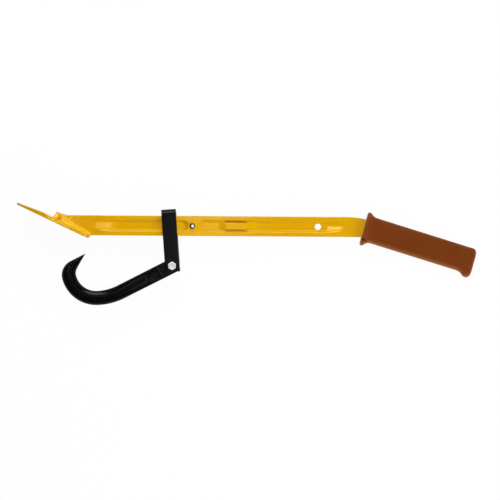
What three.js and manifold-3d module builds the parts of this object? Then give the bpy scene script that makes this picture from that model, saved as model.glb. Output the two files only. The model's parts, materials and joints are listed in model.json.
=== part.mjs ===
import * as THREE from 'three';
import { mergeVertices } from 'three/addons/utils/BufferGeometryUtils.js';
import Module from 'manifold-3d';

// A felling lever with a turning hook: a pressed steel bar with a pry lip welded to one end, a moulded grip
// on the other, and a forged hook that hangs from a U-shaped strap, which slides along the bar.
// Millimetres. In the tool's own frame the stop pin is the origin, X runs along the bar to the grip, Y is up
// the bar's height and Z is its thickness. The last lines lay the tool down on the ground.

// Gaps and cuts
const fitGap = 0.3;
const runningGap = 0.4;
const overrun = 4;
const mergeTolerance = 0.0003;
const cornerLimitShare = 0.98;
const roundSteps = 28;
const arcSteps = 8;

// Bar: an I-section between pressed pockets, bent down into a tang
const barHeight = 34.6;
const barThickness = 12;
const webThickness = 5.6;
const barEdge = 1.8;
const gripMouth = 297.7;
const gripDrop = 1.1;
const gripTurn = THREE.MathUtils.degToRad(17.05);
const tangHeight = 32;
const tangLength = 186;
const bendOuterRadius = 190;
const bendInnerRadius = 40;

// Pockets, measured from the stop pin
const pocketHeight = 17.6;
const pocketDraft = 1.8;
const bladePocketStart = 169.2;
const bladePocketRamp = 31.3;
const bladePocketEnd = 8.7;
const gripPocketStart = 10.2;
const gripPocketSteep = 5;
const gripPocketRamp = 34.7;
const gripPocketEnd = 264.6;
const bossStart = 59;
const bossLength = 30.4;
const bossHeight = 13;
const bossRise = 2.5;
const bossDraftShare = 0.25;
const bossFrontFlank = 11.3;
const bossRearFlank = 20.6;
const hangHole = 10.9;
const hangHolePlace = 217.4;

// Lip blade, measured from its tip along its underside
const bladeLength = 133.5;
const bladeWidth = 76;
const bladeTipWidth = 62;
const bladeThickness = 6.3;
const bladeTipThickness = 2.9;
const bladeBelly = 7.4;
const wedgeLength = 51;
const bladeTaper = 60;
const bladeCorner = 7;
const bladeFrontBow = 2;
const bladeAngle = THREE.MathUtils.degToRad(25);
const heelReach = 183;
const heelDrop = 20.6;
const ridgePlace = 68.8;
const ridgeLength = 9;
const ridgeRise = 12.3;
const ridgeSlope = 6;

// Weld bead round the bar's foot on the blade
const weldLeg = 8.5;
const weldShoulder = 1.1;
const weldCrown = 6.2;
const weldWaistShare = 0.35;
const weldShoulderShare = 0.75;
const weldHeelReach = 4.2;
const weldHeelDepth = 6.2;
const weldToeLength = 8.6;
const weldToeRise = 1.4;

// Stop pin: a slotted spring pin
const pinDiameter = 8;
const pinWall = 1.8;
const pinLength = 24;
const pinSlot = 1.2;
const pinSlotTurn = THREE.MathUtils.degToRad(-40);

// Strap: flat steel bent to a U round the bar
const strapWidth = 25.2;
const strapThickness = 5;
const strapGap = 14.5;
const strapBend = 8;
const strapEdge = 0.7;
const strapRise = 98.2;
const strapTail = 10.5;
const strapTilt = THREE.MathUtils.degToRad(4.3);
const boltReach = 34.4;
const boltDrop = 69.4;

// Hook: a forged, flat section with round edges
const hookWidth = 25.5;
const hookBowWidth = 24.5;
const hookThickness = 16;
const hookEyeGap = 0.5;
const hookEdge = 4.6;
const hookEyeEdge = 1.6;
const hookEyeLength = 25;
const hookNeck = 24;
const hookShank = 100;
const hookEaseRadius = 100;
const hookEaseTurn = THREE.MathUtils.degToRad(24.6);
const hookBowRadius = 48.6;
const hookPointReach = 34;
const hookPointCorner = 27;
const hookApexReach = 4.5;
const hookInnerLeave = THREE.MathUtils.degToRad(24.3);
const hookInnerBlend = 2.6;
const hookTipShares = [0.12, 0.25, 0.4, 0.58, 0.78];
const hookEyeTurns = [8, 22, 40, 60].map(THREE.MathUtils.degToRad);
const hookFacetStart = THREE.MathUtils.degToRad(36);
const hookPointThickness = 1.6;
const hookPointWidth = 0.8;
const hookTurn = THREE.MathUtils.degToRad(27.2);

// Pivot bolt, washer and lock nut
const boltDiameter = 8;
const boltHole = 8.8;
const headAcrossFlats = 13;
const headHeight = 5.3;
const headChamfer = 0.8;
const headFaceShare = 0.25;
const washerDiameter = 16;
const washerThickness = 1.6;
const nutHeight = 6.2;
const nutCollarHeight = 2.4;
const nutCollarDiameter = 11.4;
const nutCollarWall = 0.7;
const insertHeight = 1.5;
const boltTail = 1.2;

// Grip sleeve, measured along its axis from its mouth
const gripLength = 198.9;
const gripHeight = 45.2;
const gripLean = THREE.MathUtils.degToRad(1.7);
const gripThickness = 25;
const gripCorner = 10;
const collarTop = 5.6;
const collarBottom = 8.1;
const collarSide = 4;
const collarLip = 6;
const collarFillet = 14;
const pommelRise = 6.9;
const pommelLip = 12;
const pommelFillet = 15;
const gripEndRound = 7;
const lipShares = [0, 0.08, 0.25, 0.5, 0.75, 1];
const filletShares = [0.15, 0.35, 0.6, 1];
const pommelFilletShares = [1, 0.65, 0.35, 0.12];
const pommelLipShares = [0.97, 0.75, 0.5, 0.28, 0.1, 0];
const lipEdgeShare = Math.sqrt(0.75);
const filletPower = 2.6;

const { Manifold, Mesh } = await loadManifold();

async function loadManifold() {
  const wasm = await Module();
  wasm.setup();
  return wasm;
}

// A closed geometry as a solid that can be cut and joined
function solid(geometry) {
  const bare = geometry.index ? geometry.toNonIndexed() : geometry.clone();
  bare.deleteAttribute('normal');
  bare.deleteAttribute('uv');
  const merged = mergeVertices(bare, mergeTolerance);
  return new Manifold(new Mesh({
    numProp: 3,
    vertProperties: new Float32Array(merged.attributes.position.array),
    triVerts: new Uint32Array(merged.index.array),
  }));
}

function geometryOf(body) {
  const mesh = body.getMesh();
  const geometry = new THREE.BufferGeometry();
  geometry.setAttribute('position', new THREE.BufferAttribute(mesh.vertProperties, 3));
  geometry.setIndex(new THREE.BufferAttribute(mesh.triVerts, 1));
  const flat = geometry.toNonIndexed();
  flat.computeVertexNormals();
  return flat;
}

// A closed skin through rings that hold the same number of points, with both ends capped
function loft(rings) {
  const count = rings[0].length;
  const points = rings.flat();
  const faces = [];
  for (let ring = 0; ring + 1 < rings.length; ring++) {
    for (let k = 0; k < count; k++) {
      const next = (k + 1) % count;
      const a = ring * count + k;
      const b = ring * count + next;
      faces.push(a, b, b + count, a, b + count, a + count);
    }
  }
  const last = (rings.length - 1) * count;
  for (let k = 1; k + 1 < count; k++) {
    faces.push(0, k + 1, k, last, last + k, last + k + 1);
  }
  const geometry = new THREE.BufferGeometry().setFromPoints(points);
  geometry.setIndex(faces);
  return geometry;
}

// A ring in the plane of two directions: a rectangle with round corners, counter-clockwise
function roundedRing(centre, across, up, halfWidth, halfHeight, corner, steps) {
  const radius = Math.min(corner, cornerLimitShare * halfWidth, cornerLimitShare * halfHeight);
  const ring = [];
  for (let quarter = 0; quarter < 4; quarter++) {
    const signX = quarter === 0 || quarter === 3 ? 1 : -1;
    const signY = quarter < 2 ? 1 : -1;
    for (let k = 0; k < steps; k++) {
      const turn = (quarter + k / (steps - 1)) * Math.PI / 2;
      const x = signX * (halfWidth - radius) + radius * Math.cos(turn);
      const y = signY * (halfHeight - radius) + radius * Math.sin(turn);
      ring.push(centre.clone().addScaledVector(across, x).addScaledVector(up, y));
    }
  }
  return ring;
}

// A cylinder along Z, from one height to another
function rod(radius, from, to, steps = roundSteps) {
  const cylinder = new THREE.CylinderGeometry(radius, radius, to - from, steps);
  return cylinder.rotateX(Math.PI / 2).translate(0, 0, (from + to) / 2);
}

// A hexagonal prism along Z whose outer corners are turned off at both ends or at the far end only
function hexagon(acrossFlats, from, to, chamfer, nearChamfer) {
  const cornerRadius = acrossFlats / Math.sqrt(3);
  const prism = new THREE.CylinderGeometry(cornerRadius, cornerRadius, to - from, 6);
  prism.rotateX(Math.PI / 2).translate(0, 0, (from + to) / 2);
  const slope = Math.sign(to - from) * chamfer;
  const faceRadius = acrossFlats / 2 - chamfer * headFaceShare;
  const profile = [
    new THREE.Vector2(0, from - (nearChamfer ? 0 : slope)),
    new THREE.Vector2(nearChamfer ? faceRadius : cornerRadius, from - (nearChamfer ? 0 : slope)),
    new THREE.Vector2(cornerRadius, from + (nearChamfer ? slope : 0)),
    new THREE.Vector2(cornerRadius, to - slope),
    new THREE.Vector2(faceRadius, to),
    new THREE.Vector2(0, to),
  ];
  const turned = new THREE.LatheGeometry(profile, roundSteps).rotateX(Math.PI / 2);
  return solid(prism).intersect(solid(turned));
}

const alongX = new THREE.Vector3(1, 0, 0);
const alongY = new THREE.Vector3(0, 1, 0);
const alongZ = new THREE.Vector3(0, 0, 1);

// The grip's axis: it leaves the bar's end at the mouth and falls by the grip's turn
const gripPlace = new THREE.Matrix4().makeRotationZ(-gripTurn).setPosition(gripMouth, -gripDrop, 0);
const gripAxis = alongX.clone().transformDirection(gripPlace);
const gripUp = alongY.clone().transformDirection(gripPlace);

// The blade's place: its tip is the origin, X runs back to the heel and Y is square to its underside
const bladeTip = new THREE.Vector3(
  -heelReach - bladeLength * Math.cos(bladeAngle),
  -heelDrop + bladeLength * Math.sin(bladeAngle),
  0,
);
const bladePlace = new THREE.Matrix4().makeRotationZ(-bladeAngle).setPosition(bladeTip);
const ridgeBack = ridgePlace + ridgeLength;

// The bar's side outline, grown on all sides; the bend's two fillets join the bar's lines to the tang's
function barOutline(grow) {
  const half = barHeight / 2 + grow;
  const tangHalf = tangHeight / 2 + grow;
  const mouth = new THREE.Vector2(gripMouth, -gripDrop);
  const along = new THREE.Vector2(gripAxis.x, gripAxis.y);
  const up = new THREE.Vector2(gripUp.x, gripUp.y);
  const tangTop = mouth.clone().addScaledVector(up, tangHalf);
  const tangFoot = mouth.clone().addScaledVector(up, -tangHalf);
  const topCorner = new THREE.Vector2(tangTop.x - (half - tangTop.y) / Math.tan(gripTurn), half);
  const footCorner = new THREE.Vector2(tangFoot.x - (-half - tangFoot.y) / Math.tan(gripTurn), -half);
  const topRadius = bendOuterRadius + grow;
  const footRadius = bendInnerRadius - grow;
  const topEase = topRadius * Math.tan(gripTurn / 2);
  const footEase = footRadius * Math.tan(gripTurn / 2);
  const end = mouth.clone().addScaledVector(along, tangLength + grow);
  const endTop = end.clone().addScaledVector(up, tangHalf);
  const endFoot = end.clone().addScaledVector(up, -tangHalf);
  const left = bladeTip.x;
  const quarter = Math.PI / 2;
  const outline = new THREE.Shape();
  outline.moveTo(left, -half);
  outline.lineTo(footCorner.x - footEase, -half);
  outline.absarc(footCorner.x - footEase, -half - footRadius, footRadius, quarter, quarter - gripTurn, true);
  outline.lineTo(endFoot.x, endFoot.y);
  outline.lineTo(endTop.x, endTop.y);
  outline.absarc(topCorner.x - topEase, half - topRadius, topRadius, quarter - gripTurn, quarter, false);
  outline.lineTo(left, half);
  return outline;
}

// A slab of the bar's outline with square edges, which slots and clearances are cut with
function barSlab(grow) {
  const depth = barThickness + 2 * grow;
  const slab = new THREE.ExtrudeGeometry(barOutline(grow), { depth, bevelEnabled: false, curveSegments: arcSteps });
  return solid(slab.translate(0, 0, -depth / 2));
}

// A box given by its two corners
function block(low, high) {
  const size = high.clone().sub(low);
  const centre = high.clone().add(low).multiplyScalar(0.5);
  return new THREE.BoxGeometry(size.x, size.y, size.z).translate(centre.x, centre.y, centre.z);
}

// What the bar's foot is cut away by: everything under the blade's upper face and ahead of the ridge's back
function bladeSide(margin) {
  const reach = bladeLength + barHeight;
  const under = block(
    new THREE.Vector3(-reach, -reach, -bladeWidth),
    new THREE.Vector3(2 * reach, bladeThickness + margin, bladeWidth),
  );
  const ahead = block(
    new THREE.Vector3(-reach, -reach, -bladeWidth),
    new THREE.Vector3(ridgeBack + margin, reach, bladeWidth),
  );
  return solid(under.applyMatrix4(bladePlace)).add(solid(ahead.applyMatrix4(bladePlace)));
}

// One pressed pocket: its rim and its floor are long rings with round ends, joined by sloping walls
function pocket(rimStart, floorStart, floorEnd, rimEnd, side) {
  const rimHalf = pocketHeight / 2;
  const floorHalf = rimHalf - pocketDraft;
  const face = barThickness / 2;
  const floor = webThickness / 2;
  const outward = overrun / (face - floor);
  const ring = (start, end, half, height) => roundedRing(
    new THREE.Vector3((start + end) / 2, 0, side * height), alongX, alongY.clone().multiplyScalar(side),
    (end - start) / 2, half, half, arcSteps,
  );
  const rimOut = (rim, base) => rim + (rim - base) * outward;
  const geometry = loft([
    ring(floorStart, floorEnd, floorHalf, floor),
    ring(rimStart, rimEnd, rimHalf, face),
    ring(rimOut(rimStart, floorStart), rimOut(rimEnd, floorEnd), rimOut(rimHalf, floorHalf), face + overrun),
  ]);
  return solid(geometry);
}

// The raised pad in the pocket by the grip, with a ramp at each end
function boss(side) {
  const floor = webThickness / 2;
  const middle = (from, to) => new THREE.Vector3((from + to) / 2, 0, 0);
  const up = alongY.clone().multiplyScalar(side);
  const ring = (from, to, half, height) => roundedRing(
    middle(from, to).setZ(side * height), alongX, up, (to - from) / 2, half, barEdge, 3,
  );
  const foot = ring(bossStart - bossFrontFlank, bossStart + bossLength + bossRearFlank, bossHeight / 2, floor);
  const crown = ring(bossStart, bossStart + bossLength, bossHeight / 2 - bossRise * bossDraftShare, floor + bossRise);
  const inside = ring(bossStart - bossFrontFlank, bossStart + bossLength + bossRearFlank, bossHeight / 2, 0);
  return solid(loft([inside, foot, crown]));
}

function leverBar() {
  const outline = barOutline(0);
  const blank = new THREE.ExtrudeGeometry(outline, {
    depth: barThickness - 2 * barEdge,
    bevelThickness: barEdge,
    bevelSize: barEdge,
    bevelOffset: -barEdge,
    bevelSegments: 2,
    curveSegments: arcSteps,
  });
  let bar = solid(blank.translate(0, 0, barEdge - barThickness / 2));
  for (const side of [-1, 1]) {
    bar = bar.subtract(pocket(
      -bladePocketStart, -bladePocketStart + bladePocketRamp,
      -bladePocketEnd - pocketDraft, -bladePocketEnd, side,
    ));
    bar = bar.subtract(pocket(
      gripPocketStart, gripPocketStart + gripPocketSteep,
      gripPocketEnd - gripPocketRamp, gripPocketEnd, side,
    ));
    bar = bar.add(boss(side));
  }
  const pinBore = rod(pinDiameter / 2 + fitGap, -barThickness, barThickness);
  const hangBore = rod(hangHole / 2, -barThickness, barThickness).translate(hangHolePlace, 0, 0);
  return bar.subtract(solid(pinBore)).subtract(solid(hangBore)).subtract(bladeSide(fitGap));
}

// The blade's plan: its sides run parallel from the heel, then draw in to the bowed front edge
function bladePlan() {
  const half = bladeWidth / 2;
  const tipHalf = bladeTipWidth / 2;
  const plan = new THREE.Shape();
  plan.moveTo(bladeLength, -half + bladeCorner);
  plan.lineTo(bladeLength, half - bladeCorner);
  plan.quadraticCurveTo(bladeLength, half, bladeLength - bladeCorner, half);
  plan.lineTo(bladeTaper, half);
  plan.lineTo(bladeFrontBow + bladeCorner, tipHalf + (half - tipHalf) * bladeCorner / bladeTaper);
  plan.quadraticCurveTo(bladeFrontBow, tipHalf, bladeFrontBow, tipHalf - bladeCorner);
  plan.quadraticCurveTo(-bladeFrontBow, 0, bladeFrontBow, -tipHalf + bladeCorner);
  plan.quadraticCurveTo(
    bladeFrontBow, -tipHalf,
    bladeFrontBow + bladeCorner, -tipHalf - (half - tipHalf) * bladeCorner / bladeTaper,
  );
  plan.lineTo(bladeTaper, -half);
  plan.lineTo(bladeLength - bladeCorner, -half);
  plan.quadraticCurveTo(bladeLength, -half, bladeLength, -half + bladeCorner);
  return plan;
}

// The blade's side profile: a wedge that thickens from the tip to a belly, then a plate of one thickness
function bladeProfile() {
  const profile = new THREE.Shape();
  profile.moveTo(-bladeCorner, 0);
  profile.lineTo(bladeLength + overrun, 0);
  profile.lineTo(bladeLength + overrun, bladeThickness);
  profile.lineTo(ridgePlace, bladeThickness);
  profile.lineTo(wedgeLength, bladeBelly);
  profile.lineTo(0, bladeTipThickness);
  profile.lineTo(-bladeCorner, bladeTipThickness);
  return profile;
}

// The stop ridge: a forged rib across the blade whose ends slope down to the blade's edges
function bladeRidge() {
  const foot = bladeThickness / 2;
  const crown = bladeThickness + ridgeRise;
  const half = bladeWidth / 2 - fitGap;
  const ring = (height, halfLength, halfWidth) => roundedRing(
    new THREE.Vector3(ridgePlace + ridgeLength / 2, height, 0), alongZ, alongX,
    halfWidth, halfLength, barEdge, 3,
  );
  const shoulder = crown - barEdge / 2;
  const drawn = (height) => half - ridgeSlope * (height - bladeThickness) / ridgeRise;
  return solid(loft([
    ring(foot, ridgeLength / 2, half),
    ring(bladeThickness, ridgeLength / 2, half),
    ring(shoulder, ridgeLength / 2, drawn(shoulder)),
    ring(crown, ridgeLength / 2 - barEdge / 2, drawn(crown) - barEdge / 2),
  ]));
}

function lipBlade() {
  const plan = new THREE.ExtrudeGeometry(bladePlan(), {
    depth: bladeThickness + 2 * overrun, bevelEnabled: false, curveSegments: arcSteps,
  });
  plan.rotateX(Math.PI / 2).translate(0, bladeThickness + overrun, 0);
  const profile = new THREE.ExtrudeGeometry(bladeProfile(), { depth: 2 * bladeWidth, bevelEnabled: false });
  profile.translate(0, 0, -bladeWidth);
  return solid(plan).intersect(solid(profile)).add(bladeRidge());
}

// The weld bead: a fillet that runs round the bar's foot, a lump where the bar passes the blade's heel, and a
// toe that climbs the ridge's back on both sides of the bar and closes over the bar's top
function weldBead() {
  const start = ridgeBack + fitGap;
  const end = bladeLength + fitGap;
  const side = barThickness / 2;
  const ring = (share, spread) => roundedRing(
    new THREE.Vector3((start + end) / 2, bladeThickness + fitGap + share * weldLeg, 0), alongZ, alongX,
    side + spread, (end - start) / 2, weldCrown, 5,
  );
  const fillet = loft([
    ring(0, weldLeg),
    ring(weldWaistShare, weldCrown),
    ring(weldShoulderShare, weldLeg - weldCrown + weldShoulder),
    ring(1, weldShoulder),
  ]);
  const lumpProfile = new THREE.Shape();
  const foot = bladeThickness + fitGap - weldHeelDepth;
  lumpProfile.moveTo(end, foot);
  lumpProfile.quadraticCurveTo(end + weldHeelReach, foot, end + weldHeelReach, bladeThickness + fitGap);
  lumpProfile.quadraticCurveTo(end + weldHeelReach, bladeThickness + weldLeg, end, bladeThickness + weldLeg);
  lumpProfile.lineTo(end - weldLeg, bladeThickness + weldLeg);
  lumpProfile.lineTo(end - weldLeg, bladeThickness + fitGap);
  lumpProfile.lineTo(end, bladeThickness + fitGap);
  const lump = new THREE.ExtrudeGeometry(lumpProfile, {
    depth: 2 * side, bevelThickness: weldCrown / 2, bevelSize: weldShoulder, bevelOffset: -weldShoulder,
    bevelSegments: 2, curveSegments: 4,
  });
  lump.translate(0, 0, -side);
  const toe = block(
    new THREE.Vector3(start, bladeThickness + fitGap, -bladeWidth / 2),
    new THREE.Vector3(start + weldToeLength, bladeThickness + ridgeRise + barHeight, bladeWidth / 2),
  ).applyMatrix4(bladePlace);
  const bead = solid(fillet.applyMatrix4(bladePlace)).add(solid(lump.applyMatrix4(bladePlace)));
  return bead.add(solid(toe).intersect(barSlab(fitGap + weldToeRise))).subtract(barSlab(fitGap));
}

// A slotted spring pin: a tube with one slit along it
function stopPin() {
  const outer = rod(pinDiameter / 2, -pinLength / 2, pinLength / 2);
  const bore = rod(pinDiameter / 2 - pinWall, -pinLength, pinLength);
  const slit = block(
    new THREE.Vector3(0, -pinSlot / 2, -pinLength),
    new THREE.Vector3(pinDiameter, pinSlot / 2, pinLength),
  ).rotateZ(pinSlotTurn);
  return solid(outer).subtract(solid(bore)).subtract(solid(slit));
}

// The strap's own frame has the bolt as its origin and Y up the strap. The U is drawn as seen along the bar
function hookStrap() {
  const outerHalf = strapGap / 2 + strapThickness;
  const innerHalf = strapGap / 2;
  const innerBend = strapBend - strapThickness;
  const flat = outerHalf - strapBend;
  const top = strapRise - strapBend;
  const u = new THREE.Shape();
  u.moveTo(outerHalf, -strapTail);
  u.lineTo(outerHalf, top);
  u.absarc(flat, top, strapBend, 0, Math.PI / 2, false);
  u.lineTo(-flat, strapRise);
  u.absarc(-flat, top, strapBend, Math.PI / 2, Math.PI, false);
  u.lineTo(-outerHalf, -strapTail);
  u.lineTo(-innerHalf, -strapTail);
  u.lineTo(-innerHalf, top);
  u.absarc(-flat, top, innerBend, Math.PI, Math.PI / 2, true);
  u.lineTo(flat, strapRise - strapThickness);
  u.absarc(flat, top, innerBend, Math.PI / 2, 0, true);
  u.lineTo(innerHalf, -strapTail);
  const bent = new THREE.ExtrudeGeometry(u, {
    depth: strapWidth - 2 * strapEdge,
    bevelThickness: strapEdge,
    bevelSize: strapEdge,
    bevelOffset: -strapEdge,
    bevelSegments: 1,
    curveSegments: 5,
  });
  bent.translate(0, 0, strapEdge - strapWidth / 2).rotateY(-Math.PI / 2);
  const hole = rod(boltDiameter / 2 + runningGap, -2 * strapGap, 2 * strapGap);
  return solid(bent).subtract(solid(hole));
}

// How thick the hook is, by the distance from the bolt: a flat eye, a neck and the full section
function hookHalfThickness(reach) {
  const eye = strapGap / 2 - hookEyeGap;
  const share = THREE.MathUtils.clamp((reach - hookEyeLength) / hookNeck, 0, 1);
  return eye + (hookThickness / 2 - eye) * share;
}

// The hook's rings. Its frame has the bolt as origin, X down the shank and Y towards the bow's inside
function hookRings() {
  const half = hookWidth / 2;
  const bowHalf = hookBowWidth / 2;
  const rings = [];
  const straight = (reach, width) => {
    const share = THREE.MathUtils.clamp((reach - hookEyeLength) / hookNeck, 0, 1);
    const edge = hookEyeEdge + (hookEdge - hookEyeEdge) * share;
    const centre = new THREE.Vector3(reach, 0, 0);
    rings.push(roundedRing(centre, alongY, alongZ, width, hookHalfThickness(reach), edge, 4));
  };
  for (const turn of hookEyeTurns) straight(-half * Math.cos(turn), half * Math.sin(turn));
  for (const reach of [0, hookEyeLength, hookEyeLength + hookNeck, hookShank]) straight(reach, half);

  const easeCentre = new THREE.Vector3(hookShank, hookEaseRadius, 0);
  const bowCentre = new THREE.Vector3(
    hookShank + (hookEaseRadius - hookBowRadius) * Math.sin(hookEaseTurn),
    hookEaseRadius - (hookEaseRadius - hookBowRadius) * Math.cos(hookEaseTurn),
    0,
  );
  const around = (centre, turn, inner, outer, halfThickness, edge) => {
    const outward = new THREE.Vector3(Math.cos(turn), Math.sin(turn), 0);
    const middle = centre.clone().addScaledVector(outward, (inner + outer) / 2);
    rings.push(roundedRing(middle, outward.negate(), alongZ, (outer - inner) / 2, halfThickness, edge, 4));
  };
  const easeSteps = 4;
  for (let k = 1; k <= easeSteps; k++) {
    const turn = -Math.PI / 2 + hookEaseTurn * k / easeSteps;
    const width = THREE.MathUtils.lerp(half, bowHalf, k / easeSteps);
    around(easeCentre, turn, hookEaseRadius - width, hookEaseRadius + width, hookThickness / 2, hookEdge);
  }

  const apexTurn = Math.atan2(hookPointReach, hookApexReach);
  const apexRadius = Math.hypot(hookPointReach, hookApexReach);
  const innerRadius = hookBowRadius - bowHalf;
  const outerRadius = hookBowRadius + bowHalf;
  const cornerCentre = new THREE.Vector2(0, hookPointReach - hookPointCorner);
  cornerCentre.x = Math.sqrt((outerRadius - hookPointCorner) ** 2 - cornerCentre.y ** 2);
  const cornerStart = Math.atan2(cornerCentre.y, cornerCentre.x);
  const cornerEnd = Math.atan2(hookPointReach, cornerCentre.x);
  const facetAt = lineThrough(innerRadius, hookInnerLeave, apexRadius, apexTurn);
  const innerAt = (turn) => (turn < 0 ? innerRadius : softer(innerRadius, facetAt(turn), hookInnerBlend));
  const outerAt = (turn) => {
    if (turn < cornerStart) return outerRadius;
    if (turn > cornerEnd) return hookPointReach / Math.sin(turn);
    const along = cornerCentre.x * Math.cos(turn) + cornerCentre.y * Math.sin(turn);
    return along + Math.sqrt(along ** 2 - cornerCentre.lengthSq() + hookPointCorner ** 2);
  };
  const bowStart = -Math.PI / 2 + hookEaseTurn;
  const turns = [];
  const bowSteps = 12;
  for (let k = 1; k <= bowSteps; k++) turns.push(bowStart + (hookInnerLeave - bowStart) * k / bowSteps);
  for (const share of hookTipShares) turns.push(THREE.MathUtils.lerp(hookInnerLeave, apexTurn, share));
  for (const turn of turns) {
    const ground = THREE.MathUtils.clamp((turn - hookFacetStart) / (apexTurn - hookFacetStart), 0, 1);
    const thick = THREE.MathUtils.lerp(hookThickness, hookPointThickness, ground) / 2;
    around(bowCentre, turn, innerAt(turn), outerAt(turn), thick, THREE.MathUtils.lerp(hookEdge, 0, ground));
  }
  around(bowCentre, apexTurn, apexRadius - hookPointWidth, apexRadius, hookPointThickness / 2, hookPointWidth);
  return rings;
}

// The polar radius of the straight line through two polar points
function lineThrough(radiusA, turnA, radiusB, turnB) {
  return (turn) => {
    const fromA = Math.sin(turnB - turn) / radiusA;
    const fromB = Math.sin(turn - turnA) / radiusB;
    return Math.sin(turnB - turnA) / (fromA + fromB);
  };
}

// The smaller of two lengths, with the corner where they cross rounded off
function softer(a, b, blend) {
  return (a + b - Math.hypot(a - b, blend)) / 2;
}

function cantHook() {
  const eye = rod(boltHole / 2, -hookThickness, hookThickness);
  return solid(loft(hookRings())).subtract(solid(eye));
}

// Heights of the bolt's stack, up from the strap's middle plane
const strapFace = strapGap / 2 + strapThickness;
const washerTop = -strapFace - fitGap;
const washerFoot = washerTop - washerThickness;
const nutTop = washerFoot - fitGap;
const nutFoot = nutTop - nutHeight;
const collarFoot = nutFoot - nutCollarHeight;
const boltEnd = collarFoot - boltTail;

function pivotBolt() {
  const underHead = strapFace + fitGap;
  const head = hexagon(headAcrossFlats, underHead, underHead + headHeight, headChamfer, false);
  const radius = boltDiameter / 2;
  const profile = [
    new THREE.Vector2(0, boltEnd),
    new THREE.Vector2(radius - headChamfer, boltEnd),
    new THREE.Vector2(radius, boltEnd + headChamfer),
    new THREE.Vector2(radius, underHead + headHeight / 2),
    new THREE.Vector2(0, underHead + headHeight / 2),
  ];
  const shank = new THREE.LatheGeometry(profile, roundSteps).rotateX(Math.PI / 2);
  return solid(shank).add(head);
}

function nutWasher() {
  const disc = rod(washerDiameter / 2, washerFoot, washerTop);
  return solid(disc).subtract(solid(rod(boltDiameter / 2 + fitGap, 2 * boltEnd, 0)));
}

// The lock nut: a hexagon with a thin collar, rolled in over the plastic ring that it holds
function lockNut() {
  const body = hexagon(headAcrossFlats, nutTop, nutFoot, headChamfer, true);
  const collarInner = nutCollarDiameter / 2 - nutCollarWall;
  const collar = solid(rod(nutCollarDiameter / 2, collarFoot, nutFoot + headChamfer));
  const seat = rod(collarInner, collarFoot + nutCollarWall, collarFoot + nutCollarWall + insertHeight + 2 * fitGap);
  const bore = rod(boltDiameter / 2 + fitGap, 2 * boltEnd, 0);
  return body.add(collar).subtract(solid(seat)).subtract(solid(bore));
}

function lockNutInsert() {
  const foot = collarFoot + nutCollarWall + fitGap;
  const outer = nutCollarDiameter / 2 - nutCollarWall - fitGap;
  const ring = solid(rod(outer, foot, foot + insertHeight));
  return ring.subtract(solid(rod(boltDiameter / 2 + fitGap, 2 * boltEnd, 0)));
}

// How far a collar stands out at a share of its run: a round lip, then a hollow fillet down to the grip
function collarAt(distance, lip, fillet) {
  if (distance < lip) return Math.sqrt(Math.max(0, 1 - ((distance - lip / 2) / lip) ** 2));
  const left = THREE.MathUtils.clamp((lip + fillet - distance) / fillet, 0, 1);
  return lipEdgeShare * left ** filletPower;
}

// The grip's rings, each a rectangle with round corners that leans a little back from square to the axis
function gripRings() {
  const rings = [];
  const collarStations = lipShares.map((share) => share * collarLip);
  const collarFalls = filletShares.map((share) => collarLip + share * collarFillet);
  const pommelRises = pommelFilletShares.map((share) => pommelLip + share * pommelFillet);
  const pommelStations = pommelLipShares.map((share) => share * pommelLip);
  const stations = [...collarStations, ...collarFalls];
  for (const fromEnd of [...pommelRises, ...pommelStations]) stations.push(gripLength - fromEnd);
  for (const reach of stations) {
    const fromEnd = gripLength - reach;
    const collar = collarAt(reach, collarLip, collarFillet);
    const pommel = collarAt(fromEnd, pommelLip, pommelFillet);
    const sunk = Math.max(0, gripEndRound - fromEnd);
    const round = gripEndRound - Math.sqrt(gripEndRound ** 2 - sunk ** 2);
    const top = gripHeight / 2 + collarTop * collar - round;
    const foot = gripHeight / 2 + collarBottom * collar + pommelRise * pommel - round;
    const side = gripThickness / 2 + collarSide * collar - round * gripThickness / gripHeight;
    const centre = new THREE.Vector3(reach, (top - foot) / 2, 0);
    const ring = roundedRing(centre, alongY, alongZ, (top + foot) / 2, side, gripCorner, 6);
    for (const point of ring) point.x -= point.y * Math.tan(gripLean);
    rings.push(ring);
  }
  return rings;
}

function gripSleeve() {
  const skin = solid(loft(gripRings()).applyMatrix4(gripPlace));
  return skin.subtract(barSlab(fitGap));
}

const enamel = new THREE.MeshStandardMaterial({ color: 0xdba30c, roughness: 0.38, metalness: 0 });
const blackLacquer = new THREE.MeshStandardMaterial({ color: 0x141414, roughness: 0.35, metalness: 0 });
const zincPlate = new THREE.MeshStandardMaterial({ color: 0xd0d0ce, roughness: 0.3, metalness: 1 });
const springSteel = new THREE.MeshStandardMaterial({ color: 0x4a443c, roughness: 0.45, metalness: 1 });
const vinyl = new THREE.MeshStandardMaterial({ color: 0x73391a, roughness: 0.55, metalness: 0 });
const nylon = new THREE.MeshStandardMaterial({ color: 0x2f6fb0, roughness: 0.5, metalness: 0 });

function piece(name, body, material) {
  const mesh = new THREE.Mesh(geometryOf(body), material);
  mesh.name = name;
  return mesh;
}

const tool = new THREE.Group();
tool.add(
  piece('lever_bar', leverBar(), enamel),
  piece('weld_bead', weldBead(), enamel),
  piece('stop_pin', stopPin(), springSteel),
  piece('grip_sleeve', gripSleeve(), vinyl),
);

const blade = new THREE.Group();
blade.applyMatrix4(bladePlace);
blade.add(piece('lip_blade', lipBlade(), enamel));
tool.add(blade);

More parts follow.
